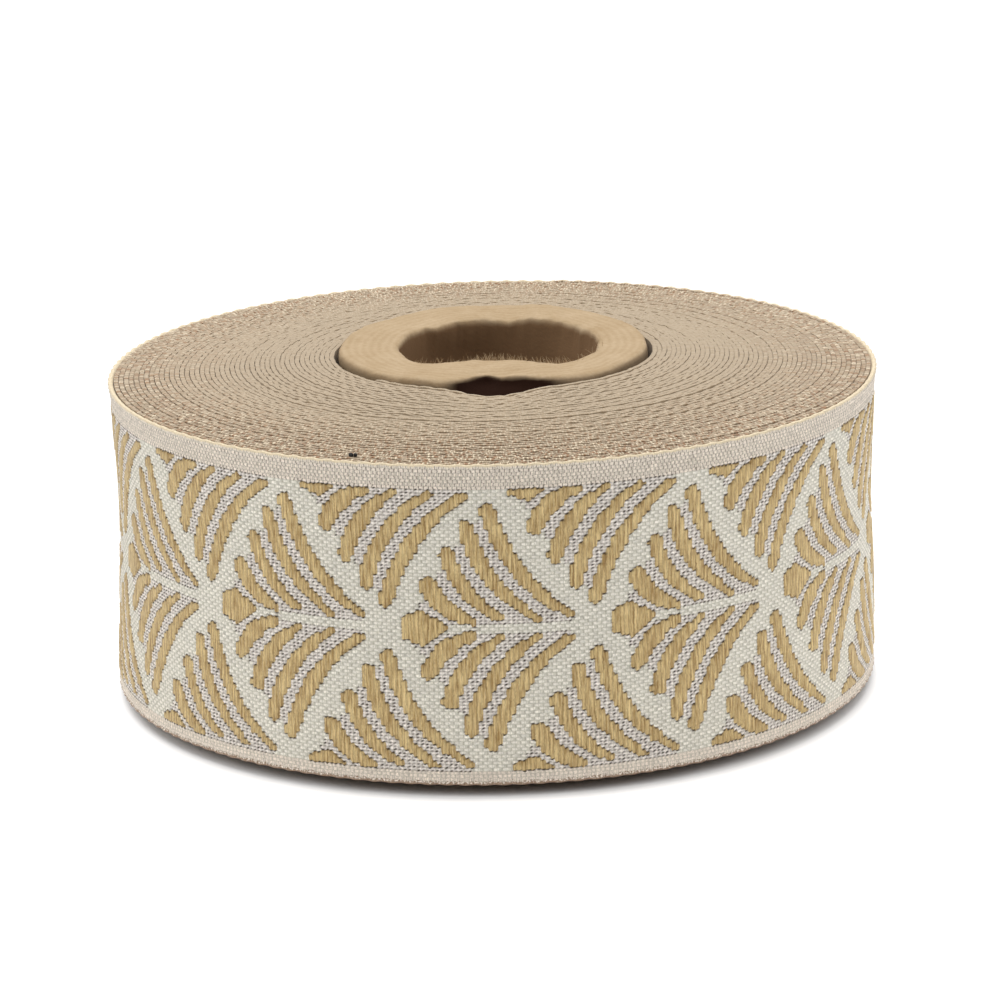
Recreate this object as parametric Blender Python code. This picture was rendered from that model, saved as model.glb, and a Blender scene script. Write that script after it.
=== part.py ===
# Roll of jacquard ribbon standing on its flat end, in metres, +Z up.
# The origin is on the surface that the roll stands on, in the middle of its outline.
# The front of the roll faces -Y. The cut end of the ribbon lies at the back.
import math

import bmesh
import bpy

MM = 0.001

# Ribbon and core sizes
RIBBON_WIDTH = 35.0 * MM
TURN_PITCH = 0.55 * MM
ROLL_RADIUS = 43.3 * MM
CORE_LENGTH = 38.0 * MM
CORE_RADIUS = 17.7 * MM
BORE_RADIUS = 11.2 * MM
FIT_GAP = 0.3 * MM

# The roll stands on its core, so that the outer turns end a little above the surface
OUTER_TURN_LIFT = 0.9 * MM
INNER_TURN_RISE = 0.7 * MM
CORE_SHIFT = (0.5 * MM, 1.0 * MM)

# Shape of the outer wall, by height as a share of the ribbon's width
WALL_LEVELS = (0.0, 0.03, 0.12, 0.28, 0.44, 0.58, 0.72, 0.84, 0.92, 0.97, 1.0)
WAIST_DEPTH = 0.42 * MM
WAIST_MIDDLE = 0.6
WAIST_SPREAD = 0.22
RIM_FLARE = 0.6 * MM
RIM_FLARE_FROM = 0.88

# Rings across the end faces, from the outermost turn (1) to the core (0)
FACE_RINGS = (0.985, 0.93, 0.8, 0.64, 0.48, 0.32, 0.18, 0.08, 0.0)
FACE_WAVE = 0.07 * MM
FACE_WAVE_TWIST = 9.0

# The gap beside the core where the first turns bulge away from a dent in the cardboard
DENT_ANGLE = math.radians(-89.0)
DENT_HALF_ANGLE = math.radians(19.0)
BULGE = 1.5 * MM
BULGE_REACH = 0.16
BULGE_DIP = 0.45 * MM
DENT_DEPTH = 1.2 * MM
DENT_DROP = 0.9 * MM

# The cut end of the ribbon
END_ANGLE = math.radians(78.0)
END_STEP_ANGLE = math.radians(0.7)

# Cardboard edge
EDGE_ROUND = 0.7 * MM
EDGE_CORNER = 0.2 * MM
RING_SINK = 0.1 * MM
FOOT_BEVEL = 0.2 * MM
EDGE_WAVE = 0.16 * MM
BORE_WAVE = 0.22 * MM
ROUGH_BORE_DEPTH = 3.5 * MM
DENT_LENGTH = 4.2 * MM
NOTCH_ANGLE = math.radians(80.0)
NOTCH_HALF_ANGLE = math.radians(14.0)
NOTCH_DEPTH = 0.8 * MM

ROLL_STEPS = 108
CORE_STEPS = 72


def clear_scene():
    for old in list(bpy.data.objects):
        bpy.data.objects.remove(old, do_unlink=True)


def turned_by(angle, middle):
    """The angle from middle to angle, between -pi and pi."""
    return (angle - middle + math.pi) % (2.0 * math.pi) - math.pi


def hump(angle, middle, half):
    """A smooth hump that is 1 at middle and 0 from half away."""
    away = abs(turned_by(angle, middle)) / half
    return 0.5 * (1.0 + math.cos(math.pi * away)) if away < 1.0 else 0.0


def wall_swell(level):
    """How far the outer wall stands out from ROLL_RADIUS at a level."""
    waist = math.exp(-(((level - WAIST_MIDDLE) / WAIST_SPREAD) ** 2))
    flare = max(0.0, level - RIM_FLARE_FROM) / (1.0 - RIM_FLARE_FROM)
    return RIM_FLARE * flare**2 - WAIST_DEPTH * waist


def end_share(angle):
    """The share of a turn from the ribbon's cut end to this angle."""
    return ((angle - END_ANGLE) % (2.0 * math.pi)) / (2.0 * math.pi)


def outer_radius(angle):
    return ROLL_RADIUS - TURN_PITCH * (1.0 - end_share(angle))


def edge_height(share, angle):
    """Height of a turn's lower edge. The inner turns have slid up a little."""
    rise = INNER_TURN_RISE * (1.0 - share)
    wave = FACE_WAVE * math.sin(2.0 * angle + FACE_WAVE_TWIST * share) * math.sin(math.pi * share)
    dip = BULGE_DIP * hump(angle, DENT_ANGLE, DENT_HALF_ANGLE) * math.exp(-share / BULGE_REACH)
    return OUTER_TURN_LIFT + rise + wave - dip


def face_point(share, angle):
    """A point in plan on the turn that lies share of the way out from the core."""
    bulge = BULGE * hump(angle, DENT_ANGLE, DENT_HALF_ANGLE)
    plain = CORE_RADIUS + FIT_GAP + share * (outer_radius(angle) - CORE_RADIUS - FIT_GAP)
    radius = plain + bulge * math.exp(-share / BULGE_REACH) * (1.0 - share)
    return (
        radius * math.cos(angle) + (1.0 - share) * CORE_SHIFT[0],
        radius * math.sin(angle) + (1.0 - share) * CORE_SHIFT[1],
    )


def roll_angles():
    """One turn of angles from the cut end, which leave a narrow step at the end."""
    whole = 2.0 * math.pi - END_STEP_ANGLE
    return [END_ANGLE + whole * k / (ROLL_STEPS - 1) for k in range(ROLL_STEPS)]


def roll_section(angle):
    """The roll's closed outline in the upright plane at this angle, going up its outer wall."""
    points = []
    lift = edge_height(1.0, angle)
    for level in WALL_LEVELS:
        radius = outer_radius(angle) + wall_swell(level)
        points.append((radius * math.cos(angle), radius * math.sin(angle), lift + level * RIBBON_WIDTH))
    for share in FACE_RINGS:
        x, y = face_point(share, angle)
        points.append((x, y, edge_height(share, angle) + RIBBON_WIDTH))
    for share in reversed(FACE_RINGS):
        x, y = face_point(share, angle)
        points.append((x, y, edge_height(share, angle)))
    return points


def core_section(angle):
    """The tube's closed outline in the upright plane at this angle, going up its outer wall."""
    dent = hump(angle, DENT_ANGLE, DENT_HALF_ANGLE)
    notch = hump(angle, NOTCH_ANGLE, NOTCH_HALF_ANGLE)
    top = CORE_LENGTH + EDGE_WAVE * math.sin(3.0 * angle + 0.6) * math.sin(5.0 * angle) - DENT_DROP * dent
    bore = BORE_RADIUS + BORE_WAVE * math.sin(4.0 * angle + 1.1) * math.sin(7.0 * angle)
    ring_top = top - NOTCH_DEPTH * notch
    outer_top = CORE_RADIUS - DENT_DEPTH * dent
    profile = (
        (CORE_RADIUS - FOOT_BEVEL, 0.0),
        (CORE_RADIUS, FOOT_BEVEL),
        (CORE_RADIUS, 0.5 * CORE_LENGTH),
        (CORE_RADIUS, CORE_LENGTH - DENT_LENGTH),
        (outer_top, top - EDGE_ROUND),
        (outer_top - EDGE_CORNER, top - EDGE_CORNER),
        (outer_top - EDGE_ROUND, top),
        (0.5 * (CORE_RADIUS + BORE_RADIUS), ring_top - RING_SINK),
        (bore + EDGE_ROUND, ring_top - RING_SINK),
        (bore, ring_top - EDGE_ROUND),
        (BORE_RADIUS, CORE_LENGTH - ROUGH_BORE_DEPTH),
        (BORE_RADIUS, FOOT_BEVEL),
        (BORE_RADIUS + FOOT_BEVEL, 0.0),
    )
    return [
        (CORE_SHIFT[0] + radius * math.cos(angle), CORE_SHIFT[1] + radius * math.sin(angle), height)
        for radius, height in profile
    ]


def ring_mesh(name, sections):
    """A closed ring through upright sections that follow each other round the axis."""
    mesh = bpy.data.meshes.new(name)
    work = bmesh.new()
    rows = [[work.verts.new(point) for point in section] for section in sections]
    for k, row in enumerate(rows):
        ahead = rows[(k + 1) % len(rows)]
        for i in range(len(row)):
            j = (i + 1) % len(row)
            work.faces.new((row[i], ahead[i], ahead[j], row[j]))
    bmesh.ops.recalc_face_normals(work, faces=work.faces)
    work.to_mesh(mesh)
    work.free()
    return mesh


def material(name, colour, roughness):
    made = bpy.data.materials.new(name)
    made.use_nodes = True
    shader = made.node_tree.nodes["Principled BSDF"]
    shader.inputs["Base Color"].default_value = (*colour, 1.0)
    shader.inputs["Roughness"].default_value = roughness
    shader.inputs["Metallic"].default_value = 0.0
    return made


def add_piece(name, mesh, finish, parent, middle):
    mesh.materials.append(finish)
    mesh.shade_smooth()
    mesh.set_sharp_from_angle(angle=math.radians(35.0))
    piece = bpy.data.objects.new(name, mesh)
    bpy.context.collection.objects.link(piece)
    piece.parent = parent
    piece.location = (-middle[0], -middle[1], 0.0)
    return piece


def outline_middle(sections):
    """The middle of the sections' extent in plan."""
    across = [[point[axis] for section in sections for point in section] for axis in (0, 1)]
    return tuple(0.5 * (min(values) + max(values)) for values in across)


def build():
    clear_scene()
    anchor = bpy.data.objects.new("roll_of_jacquard_ribbon", None)
    bpy.context.collection.objects.link(anchor)

    roll = [roll_section(angle) for angle in roll_angles()]
    core = [core_section(2.0 * math.pi * k / CORE_STEPS) for k in range(CORE_STEPS)]
    middle = outline_middle(roll)

    woven = material("ribbon_weave", (0.63, 0.58, 0.50), 0.75)
    cardboard = material("cardboard", (0.64, 0.46, 0.27), 0.9)
    add_piece("ribbon_roll", ring_mesh("ribbon_roll", roll), woven, anchor, middle)
    add_piece("core_tube", ring_mesh("core_tube", core), cardboard, anchor, middle)


build()
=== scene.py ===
# %% [markdown]
# # Roll of jacquard ribbon
# The real thing is about nine metres of woven ribbon, wound edge to edge on a cardboard tube.
# It stands on its flat end, so the camera sees the patterned outer turn, the edges of all the turns,
# and the tube.
# We load the plain CAD model first. It is the fixed frame: it says where everything is and how big it may be.

import math

import bpy
import numpy as np
from mathutils import Matrix, Vector, noise


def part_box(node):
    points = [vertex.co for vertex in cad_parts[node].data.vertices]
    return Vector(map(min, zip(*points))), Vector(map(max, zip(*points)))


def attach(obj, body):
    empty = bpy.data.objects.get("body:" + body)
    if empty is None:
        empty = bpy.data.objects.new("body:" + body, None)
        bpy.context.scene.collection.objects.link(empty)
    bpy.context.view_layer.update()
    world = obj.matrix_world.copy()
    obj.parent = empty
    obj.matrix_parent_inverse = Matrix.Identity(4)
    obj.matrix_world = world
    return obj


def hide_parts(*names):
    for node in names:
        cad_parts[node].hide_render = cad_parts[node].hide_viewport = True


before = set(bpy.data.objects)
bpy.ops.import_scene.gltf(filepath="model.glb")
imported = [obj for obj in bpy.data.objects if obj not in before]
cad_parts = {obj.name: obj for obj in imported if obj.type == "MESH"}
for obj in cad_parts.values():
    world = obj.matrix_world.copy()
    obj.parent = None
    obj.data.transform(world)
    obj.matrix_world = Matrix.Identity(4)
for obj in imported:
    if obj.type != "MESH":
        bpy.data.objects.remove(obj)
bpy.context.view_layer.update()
print("CAD nodes:", sorted(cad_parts))

# %% [markdown]
# ## Sizes
# A roll is an easy object to get wrong, because every turn depends on the one below it.
# So we keep the same few numbers as the CAD model: the ribbon's width, the room that one turn takes,
# and the radius at the rim. Only the lift of the turns above the surface and their rise towards the tube
# are a little larger than in the CAD model, to give the dark gap under the roll its full height.
# The tube's place is measured on the frame instead of being typed in again.

# %% Sizes of the roll, in metres
MM = 0.001
RIBBON_WIDTH = 35.0 * MM
TURN_PITCH = 0.55 * MM
ROLL_RADIUS = 43.3 * MM
CORE_RADIUS = 17.7 * MM
BORE_RADIUS = 11.2 * MM
FIRST_TURN_RADIUS = CORE_RADIUS + 0.3 * MM
OUTER_TURN_LIFT = 1.25 * MM
INNER_TURN_RISE = 1.4 * MM
CORE_SHIFT = (0.5 * MM, 1.0 * MM)
END_ANGLE = math.radians(78.0)
DENT_ANGLE = math.radians(-92.0)
DENT_HALF_ANGLE = math.radians(21.0)

core_low, core_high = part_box("core_tube")
CORE_AXIS = (0.5 * (core_low.x + core_high.x), 0.5 * (core_low.y + core_high.y))
ROLL_AXIS = (CORE_AXIS[0] - CORE_SHIFT[0], CORE_AXIS[1] - CORE_SHIFT[1])
print("Axis of the roll in mm:", [round(value / MM, 3) for value in ROLL_AXIS])

# %% [markdown]
# ## Camera
# A product shot like this is taken from a little above with a long lens, which keeps the sides upright.
# We set the lens by its focal length, and turn the camera with three plain rotations:
# to the side, down towards the roll, and a very small roll of the camera itself.

# %% Camera
CAMERA_PLACE = Vector((-8.92, -450.16, 147.46)) * MM
CAMERA_TURN = 0.0210
CAMERA_DOWN = 0.2751
CAMERA_ROLL = -0.0236
FOCAL_LENGTH = 147.48

bpy.ops.object.camera_add()
camera = bpy.context.active_object
camera.name = "camera"
camera.matrix_world = (
    Matrix.Translation(CAMERA_PLACE)
    @ Matrix.Rotation(-CAMERA_TURN, 4, "Z")
    @ Matrix.Rotation(0.5 * math.pi - CAMERA_DOWN, 4, "X")
    @ Matrix.Rotation(CAMERA_ROLL, 4, "Z")
)
camera.data.sensor_width = 36.0
camera.data.lens = FOCAL_LENGTH
camera.data.clip_start = 0.02
bpy.context.scene.camera = camera
bpy.context.scene.view_settings.view_transform = "Standard"
print("Camera height in mm:", round(camera.location.z / MM, 1))

# %% [markdown]
# ## Small helpers for meshes
# Operators act on whatever is selected, and the frame's nodes are selected after loading.
# So each step starts by deselecting everything. NumPy reads and writes all points of a mesh at once,
# which is how a grid of a hundred thousand faces can be shaped in a moment.


# %% Mesh helpers
def deselect_all():
    if bpy.context.mode != "OBJECT":
        bpy.ops.object.mode_set(mode="OBJECT")
    bpy.ops.object.select_all(action="DESELECT")


def select_only(piece):
    deselect_all()
    piece.select_set(True)
    bpy.context.view_layer.objects.active = piece


def read_points(mesh):
    points = np.empty(len(mesh.vertices) * 3, np.float32)
    mesh.vertices.foreach_get("co", points)
    return points.reshape(-1, 3).astype(float)


def write_points(mesh, points):
    mesh.vertices.foreach_set("co", np.asarray(points, np.float32).ravel())
    mesh.update()


def write_values(mesh, name, domain, values):
    attribute = mesh.attributes.new(name, "FLOAT", domain)
    attribute.data.foreach_set("value", np.asarray(values, np.float32).ravel())


def report(piece):
    """Prints the piece's size and whether its mesh is closed."""
    mesh = piece.data
    ends = np.empty(len(mesh.loops), np.int32)
    mesh.loops.foreach_get("edge_index", ends)
    uses = np.bincount(ends, minlength=len(mesh.edges))
    points = read_points(mesh)
    size = [round(float(value) / MM, 2) for value in points.max(0) - points.min(0)]
    triangles = sum(len(face.vertices) - 2 for face in mesh.polygons)
    print(f"{piece.name}: {size} mm, {triangles} triangles, open edges: {int((uses != 2).sum())}")


# %% [markdown]
# ## Where the ribbon lies
# Think of the ribbon as a long flat strip. One number says how many turns a point lies in from the cut
# end, one says how high it is across the ribbon, and one how deep it is in the cloth. From these we work
# out its place in the roll. A screw modifier could make a plain spiral, but not the slight waist,
# the flared top edge or the bulge beside the tube, so we write the spiral ourselves.

# %% Form of the wall and of the end faces
WAIST_DEPTH = 0.42 * MM
WAIST_MIDDLE = 0.6
WAIST_SPREAD = 0.22
RIM_FLARE = 0.25 * MM
RIM_FLARE_FROM = 0.88
SLACK_ANGLE = math.radians(195.0)
SLACK_HALF_ANGLE = math.radians(75.0)
SLACK = 0.55 * MM
SLACK_HEIGHT = 0.24
BULGE = 1.5 * MM
BULGE_REACH = 0.16
BULGE_DIP = 0.45 * MM
FACE_WAVE = 0.07 * MM
FACE_WAVE_TWIST = 9.0


# %% Place of a point of the ribbon in the roll
def hump(angle, middle, half):
    """A smooth hump that is 1 at middle and 0 from half away."""
    away = np.abs((angle - middle + math.pi) % (2.0 * math.pi) - math.pi) / half
    return 0.5 * (1.0 + np.cos(math.pi * np.minimum(away, 1.0)))


def wall_swell(level, angle):
    """How far the outer wall stands out from its plain radius, by height as a share of the width."""
    waist = np.exp(-(((level - WAIST_MIDDLE) / WAIST_SPREAD) ** 2))
    flare = np.maximum(0.0, level - RIM_FLARE_FROM) / (1.0 - RIM_FLARE_FROM)
    slack = hump(angle, SLACK_ANGLE, SLACK_HALF_ANGLE) * np.exp(-((level / SLACK_HEIGHT) ** 2))
    return RIM_FLARE * flare**2 - WAIST_DEPTH * waist + SLACK * slack


def wind(turns, height, depth):
    """The place of points of the ribbon: turns in from the cut end, height across it, depth in the cloth."""
    angle = END_ANGLE - 2.0 * math.pi * turns
    share = 1.0 - turns * TURN_PITCH / (ROLL_RADIUS - FIRST_TURN_RADIUS)
    at_dent = hump(angle, DENT_ANGLE, DENT_HALF_ANGLE) * np.exp(-share / BULGE_REACH)
    bulge = BULGE * at_dent * (1.0 - share)
    swell = share**2 * wall_swell(height / RIBBON_WIDTH, angle)
    radius = ROLL_RADIUS - TURN_PITCH * turns + swell + bulge - depth
    rise = INNER_TURN_RISE * (1.0 - share)
    wave = FACE_WAVE * np.sin(2.0 * angle + FACE_WAVE_TWIST * share) * np.sin(math.pi * share)
    x = ROLL_AXIS[0] + radius * np.cos(angle) + (1.0 - share) * CORE_SHIFT[0]
    y = ROLL_AXIS[1] + radius * np.sin(angle) + (1.0 - share) * CORE_SHIFT[1]
    z = OUTER_TURN_LIFT + rise + wave - BULGE_DIP * at_dent + height
    return np.stack([x, y, z], axis=-1)


print("Front of the outer turn in mm:", np.round(wind(0.5, 0.5 * RIBBON_WIDTH, 0.0) / MM, 2))

# %% [markdown]
# ## The weave chart
# Jacquard cloth is drawn as a chart of cells: one column for each weft thread, or pick, and one row for
# each warp thread, or end. A cell says which thread shows. The ground is plain weave, which swaps from
# cell to cell. The pattern is a fan of curved strokes beside a drop, a common trimming repeat, lying on
# its side. We give each stroke by three points and let the chart decide cell by cell, which steps its
# edges as a loom does.

# %% Thread counts and the fan's strokes, in millimetres along the ribbon and out from the fan's axis
PICKS_ROUND = 542
ENDS = 95
REPEAT_PICKS = 45
FIRST_FAN_PICK = 267.26
LOW_BORDER_ENDS = 4
TOP_BORDER_ENDS = 7
PICK_MM = 22.45 / REPEAT_PICKS
FACE_LOW_MM = 0.1
END_MM = (RIBBON_WIDTH / MM - 2.0 * FACE_LOW_MM) / ENDS
FAN_AXES_MM = ((17.2, 0.0), (32.9, 0.492), (1.22, 0.492))
DROP = ((0.0, 1.1), (1.5, 1.7), (2.4, 1.95), (3.8, 1.0), (5.0, 0.15))
STROKES = (
    # head, bend, tail and width
    ((2.95, 4.65), (4.3, 1.75), (7.7, 0.75), 1.9),
    ((5.05, 8.0), (6.3, 3.55), (10.5, 1.05), 1.7),
    ((7.2, 11.0), (8.4, 5.0), (14.4, 0.95), 1.65),
    ((9.4, 12.75), (11.8, 4.9), (18.0, 1.2), 1.65),
)


# %% The chart of one repeat
def stroke_line(head, bend, tail, steps=60):
    t = np.linspace(0.0, 1.0, steps)[:, None]
    line = (1 - t) ** 2 * np.array(head) + 2 * t * (1 - t) * np.array(bend) + t**2 * np.array(tail)
    return line, t[:, 0]


def in_fan(along, out):
    """Whether cells lie in one of the fan's gold shapes."""
    drop = np.array(DROP)
    gold = (along < drop[-1, 0]) & (np.abs(out) < np.interp(along, drop[:, 0], drop[:, 1]))
    for head, bend, tail, width in STROKES:
        line, t = stroke_line(head, bend, tail)
        half = 0.5 * width * (1.0 + 0.12 * np.sin(math.pi * t) - 0.48 * t**2)
        away = np.hypot(along[..., None] - line[:, 0], np.abs(out)[..., None] - line[:, 1])
        gold |= (away - half).min(axis=-1) < 0.0
    return gold


def between_strokes(along, out):
    """Whether cells lie inside the fan, where the ground between its strokes is woven more closely."""
    heads = np.array([(0.0, 0.0)] + [stroke[0] for stroke in STROKES])
    last, _ = stroke_line(*STROKES[-1][:3])
    left = np.interp(np.abs(out), heads[:, 1], heads[:, 0]) + 0.5
    right = np.interp(np.abs(out), last[::-1, 1], last[::-1, 0])
    return (np.abs(out) > 0.5) & (np.abs(out) < 13.2) & (along > left) & (along < right)


def chart():
    pick, end = np.meshgrid(np.arange(REPEAT_PICKS), np.arange(ENDS), indexing="ij")
    gold = np.zeros(pick.shape, bool)
    close = np.zeros(pick.shape, bool)
    for axis, shift in FAN_AXES_MM:
        along = ((pick + 0.5 + shift * REPEAT_PICKS) % REPEAT_PICKS) * PICK_MM
        out = FACE_LOW_MM + (end + 0.5) * END_MM - axis
        gold |= in_fan(along, out)
        close |= between_strokes(along, out)
    border = (end < LOW_BORDER_ENDS) | (end >= ENDS - TOP_BORDER_ENDS)
    return gold & ~border, close & ~gold & ~border


gold_chart, close_chart = chart()
print("Gold cells in a repeat:", int(gold_chart.sum()), "of", gold_chart.size)

# %% [markdown]
# ## Relief of the weave
# The camera is near enough to see single threads, so the weave is real relief and not only a bump texture.
# Each cell gets two by two faces, so it has a point at its centre, at the middle of each side and at each
# corner. A gold thread floats over many ends, so its cells join up into one long rounded ridge with
# a groove on each side. Where a float dives into the cloth there is a tiny pit. The shade in pits and
# grooves is also painted into the cloth's colour; we keep how dark it is as a value on each point, called
# sink.

# %% Heights in millimetres, and how dark the painted shade in each pit or groove is
WEFT_UP_MM, WARP_UP_MM, CELL_SIDE_MM, CELL_CORNER_MM = 0.065, 0.045, 0.01, -0.05
SUNK_WARP_MM = -0.01
FLOAT_MM, FLOAT_GROOVE_MM = 0.14, 0.09
DIVE_MM, DIVE_SEAM_MM = 0.02, -0.04
SELVEDGE_MM, SELVEDGE_GROOVE_MM, SELVEDGE_SEAM_MM = 0.06, 0.02, -0.02
GROUND_PIT_SHADE, CLOSE_PIT_SHADE, CLOSE_SHADE = 0.24, 0.85, 0.24
FLOAT_SHADE, DIVE_PIT_SHADE, DIVE_CORNER_SHADE, DIVE_SHADE = 0.25, 1.1, 0.45, 0.25
SELVEDGE_SHADE = 0.15


# %% Cells of the chart that meet at a point
def repeat_of(pick):
    """The column of the chart for a pick counted along the outer turn."""
    return np.floor(pick - FIRST_FAN_PICK + 0.5).astype(int) % REPEAT_PICKS


def cells_round(column, row):
    """The four cells of the chart round each point, and the pick and the end that follow it."""
    picks = [np.clip(p, 0, PICKS_ROUND - 1) for p in ((column - 1) // 2, column // 2)]
    ends = [np.clip(e, 0, ENDS - 1) for e in ((row - 1) // 2, row // 2)]
    return [(repeat_of(p), e) for p in picks for e in ends], picks[1], ends[1]


def gold_share(column, row):
    """The share of the cells round each point that are gold."""
    cells, _, _ = cells_round(column, row)
    return np.mean([gold_chart[cell] for cell in cells], axis=0)


# %% Relief at each point of the woven face
def woven_relief(columns):
    """Height in millimetres and sink, the strength of the painted shade, of each point of the outer face, and
    where a gold float ends.
    """
    rows = np.arange(2 * ENDS + 1)
    column, row = np.meshgrid(columns, rows, indexing="ij")
    cells, pick, end = cells_round(column, row)
    gold = np.stack([gold_chart[cell] for cell in cells])
    close = np.stack([close_chart[cell] for cell in cells])
    groove, seam = column % 2 == 0, row % 2 == 0
    corner, centre = groove & seam, ~groove & ~seam

    weft_up = centre & ((pick + end) % 2 == 0)
    height = np.select(
        [weft_up, centre, corner], [WEFT_UP_MM, WARP_UP_MM, CELL_CORNER_MM], CELL_SIDE_MM
    )
    sink = np.where(corner, GROUND_PIT_SHADE, 0.0)
    tight = close.any(axis=0)
    height = np.where(tight & centre & ~weft_up, SUNK_WARP_MM, height)
    sink = np.where(tight, np.select([corner, weft_up], [CLOSE_PIT_SHADE, 0.0], CLOSE_SHADE), sink)

    inside = gold.all(axis=0)
    height = np.select([inside & groove, inside], [FLOAT_GROOVE_MM, FLOAT_MM], height)
    sink = np.select([inside & groove, inside], [FLOAT_SHADE, 0.0], sink)
    dive = gold.any(axis=0) & ~inside
    float_end = dive & seam
    height = np.select([float_end, dive], [DIVE_SEAM_MM, DIVE_MM], height)
    sink = np.select([float_end & ~groove, float_end, dive], [DIVE_PIT_SHADE, DIVE_CORNER_SHADE, DIVE_SHADE], sink)

    border = (row < 2 * LOW_BORDER_ENDS) | (row > 2 * (ENDS - TOP_BORDER_ENDS))
    height = np.select(
        [border & seam, border & groove, border],
        [SELVEDGE_SEAM_MM, SELVEDGE_GROOVE_MM, SELVEDGE_MM],
        height,
    )
    sink = np.select([border & seam, border], [SELVEDGE_SHADE, 0.0], sink)
    return height, sink, float_end


# %% [markdown]
# ## Rows round the cloth
# The cloth has thickness, so each strip is a closed tube with a very flat section: the woven face,
# a rounded edge, a plain back and the other edge. A row of the grid is kept for each step round that section,
# and the last row meets the first one, where the two are merged.

# %% Rows of the outer turn's section
face_rows = FACE_LOW_MM + 0.5 * END_MM * np.arange(2 * ENDS + 1)
edge_steps = np.array([(-0.07, 0.1), (-0.1, 0.25), (-0.07, 0.4)])
top_edge = np.stack([RIBBON_WIDTH / MM - 0.1 - edge_steps[:, 0], edge_steps[:, 1]], axis=1)
low_edge = np.stack([0.1 + edge_steps[::-1, 0], edge_steps[::-1, 1]], axis=1)
back = np.array([(height, 0.5) for height in (34.8, 33.2, 31.0, 27.0, 24.0, 21.0, 18.0, 14.0, 9.0, 0.2)])
section = np.concatenate([np.stack([face_rows, 0.0 * face_rows], axis=1), top_edge, back, low_edge])
section = np.concatenate([section, section[:1]])
print("Rows round the outer turn's section:", len(section))


# %% [markdown]
# ## From a flat grid to a wound strip
# A grid primitive is the cloth laid flat. We note each point's column and row while it is still flat,
# then move every point to its place in the roll. The UV map keeps the flat layout, with one unit to 100 mm,
# so the material can still follow the threads after winding.


# %% Flat grid with its columns and rows
def flat_grid(name, columns, rows):
    deselect_all()
    bpy.ops.mesh.primitive_grid_add(x_subdivisions=columns, y_subdivisions=rows, size=1.0)
    piece = bpy.context.active_object
    piece.name = name
    points = read_points(piece.data)
    column = np.rint((points[:, 0] + 0.5) * columns).astype(int)
    row = np.rint((points[:, 1] + 0.5) * rows).astype(int)
    corners = np.empty(len(piece.data.loops), np.int32)
    piece.data.loops.foreach_get("vertex_index", corners)
    return piece, column, row, corners


def write_map(piece, corners, along, across):
    """Sets the UV map from each point's place on the flat ribbon, in metres."""
    layer = piece.data.uv_layers[0]
    layer.name = "ribbon"
    values = np.stack([along[corners], across[corners]], axis=1) * 10.0
    layer.data.foreach_set("uv", values.astype(np.float32).ravel())


def close_strip(piece, smooth_below):
    """Merges the last row with the first, closes the strip's two ends and shades it smooth."""
    select_only(piece)
    bpy.ops.object.mode_set(mode="EDIT")
    bpy.ops.mesh.select_all(action="SELECT")
    bpy.ops.mesh.remove_doubles(threshold=0.000001)
    bpy.ops.mesh.fill_holes(sides=0)
    bpy.ops.mesh.select_all(action="SELECT")
    bpy.ops.mesh.normals_make_consistent(inside=False)
    bpy.ops.object.mode_set(mode="OBJECT")
    bpy.ops.object.shade_smooth_by_angle(angle=math.radians(smooth_below))


# %% [markdown]
# ## The outer turn
# The turn that shows its pattern is made in three pieces, because one mesh of it would be needlessly heavy.
# Their joints fall between two picks, where a groove hides them. A little chance in each cell's height
# and tone keeps the cloth from looking printed. The random numbers come from a fixed seed,
# so every run is the same.

# %% Chance in the cloth
chance = np.random.default_rng(20)
cell_tone = chance.normal(0.0, 1.0, (PICKS_ROUND, ENDS))
pick_tone = chance.normal(0.0, 1.0, PICKS_ROUND)
point_height = chance.normal(0.0, 0.012, (2 * PICKS_ROUND + 1, 2 * ENDS + 1))
point_slide = chance.normal(0.0, 0.015, (2, 2 * PICKS_ROUND + 1, 2 * ENDS + 1))
point_sink = chance.uniform(0.55, 1.25, (2 * PICKS_ROUND + 1, 2 * ENDS + 1))


def edge_lump(picks):
    """The edge thread's loops: a soft lump for every four picks, from 0 to 1."""
    return 0.5 + 0.5 * np.cos(0.5 * math.pi * picks)


# %% Winding the outer turn
def wind_woven(mesh, first_pick, last_pick, column, row):
    """Lays a flat grid round the roll as woven cloth, and gives the sink, the strength of the painted shade,
    of each point.
    """
    height_mm, sink, float_end = woven_relief(np.arange(2 * PICKS_ROUND + 1))
    height_mm = height_mm + point_height
    sink = np.minimum(1.0, sink * point_sink)
    # the ends of the floats lie less evenly than the other threads
    slide = point_slide * np.stack([np.where(float_end, 4.5, 1.0), np.ones(float_end.shape)])
    on_face = row <= 2 * ENDS
    face_row = np.where(on_face, row, 0)
    relief = np.where(on_face, height_mm[column, face_row], 0.0)
    relief = np.where(row == len(section) - 1, height_mm[column, 0], relief)
    slides = on_face & (row > 0)
    across = section[row, 0] + np.where(slides, slide[0][column, face_row], 0.0)
    along = 0.5 * column + np.where(slides, slide[1][column, face_row], 0.0) / PICK_MM
    along = np.where((column == 2 * first_pick) | (column == 2 * last_pick), 0.5 * column, along)

    near_top = np.clip((across - 33.9) / 0.9, 0.0, 1.0)
    near_low = np.clip((1.1 - across) / 0.9, 0.0, 1.0)
    lump = edge_lump(0.5 * column + 0.8 * across)
    relief = relief + 0.09 * lump * (near_top + near_low) * (section[row, 1] < 0.45)
    lifted = 0.12 * lump * (near_top - 0.5 * near_low)
    turns = 1.0 - along / PICKS_ROUND
    write_points(mesh, wind(turns, (across + lifted) * MM, (section[row, 1] - relief) * MM))
    return np.where(on_face, sink[column, face_row], 0.0)


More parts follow.
